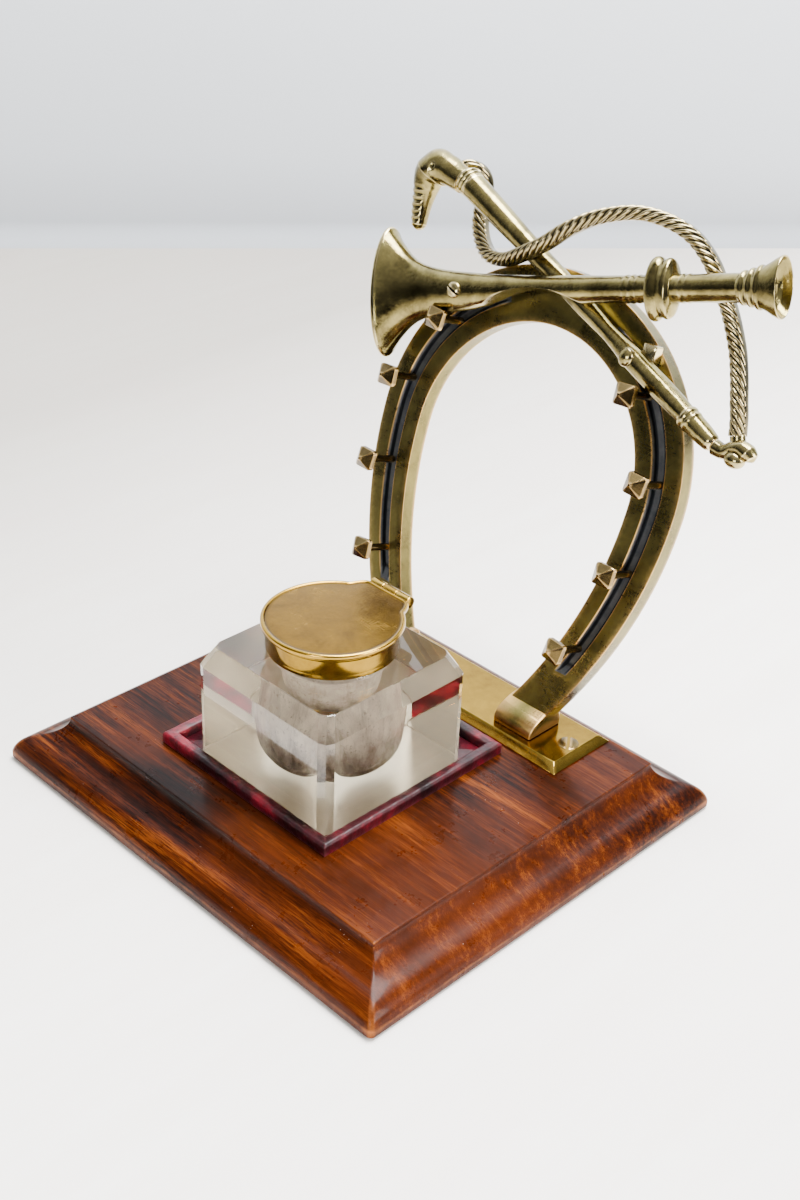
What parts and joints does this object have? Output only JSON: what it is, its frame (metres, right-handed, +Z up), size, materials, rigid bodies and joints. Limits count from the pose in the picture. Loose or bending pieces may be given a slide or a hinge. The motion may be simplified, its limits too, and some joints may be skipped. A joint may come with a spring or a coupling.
{
  "type": "inkwell",
  "caption": "Hunting inkstand: square glass inkwell with hinged brass lid in a leather tray on a moulded mahogany board, under a leaning brass horseshoe with horn and riding crop.",
  "frame": {"origin": "centre of the base, on the underside of the baize that rests on the desk", "axes": "+X to the right along the front edge of the board, +Y from the bottle towards the horseshoe, +Z up"},
  "size_m": [0.2, 0.2058, 0.2096],
  "materials": {
    "mahogany": "french-polished",
    "baize": "felted",
    "leather": "glazed morocco",
    "polished_brass": "polished",
    "aged_brass": "aged",
    "dark_brass": "dark patina",
    "cast_brass": "cast, patinated",
    "bottle_glass": "polished"
  },
  "bodies": {
    "stand": {"base_board": "mahogany", "baize_pad": "baize", "tray_liner": "leather", "stand_plate": "polished_brass", "plate_screw_left": "dark_brass", "plate_screw_right": "dark_brass", "horseshoe": "aged_brass", "crop_rivet": "cast_brass", "horn_screw": "cast_brass", "crop_boss": "cast_brass", "crop_handle": "cast_brass", "crop_collar": "cast_brass", "crop_ferrule": "cast_brass", "crop_shaft": "cast_brass", "whip_knot": "cast_brass", "whip_thong": "cast_brass", "hunting_horn": "cast_brass", "horn_knob": "cast_brass", "horn_mouthpiece": "cast_brass", "tray_rail_front": "leather", "tray_rail_right": "leather", "tray_rail_back": "leather", "tray_rail_left": "leather", "nail_left_1": "dark_brass", "nail_left_2": "dark_brass", "nail_left_3": "dark_brass", "nail_left_4": "dark_brass", "nail_right_1": "dark_brass", "nail_right_2": "dark_brass", "nail_right_3": "dark_brass", "nail_right_4": "dark_brass"},
    "bottle": {"ink_bottle": "bottle_glass", "bottle_collar": "polished_brass", "hinge_pin": "polished_brass"},
    "lid": {"lid": "polished_brass"}
  },
  "joints": [
    {"name": "bottle_lift", "type": "slide", "parent": "stand", "child": "bottle", "axis": [0, 0, 1], "range_m": [0, 0.045]},
    {"name": "lid_hinge", "type": "hinge", "parent": "bottle", "child": "lid", "pos_m": [0.0014, 0.0135, 0.0794], "axis": [-1, 0, 0], "range_deg": [0, 105]}
  ]
}
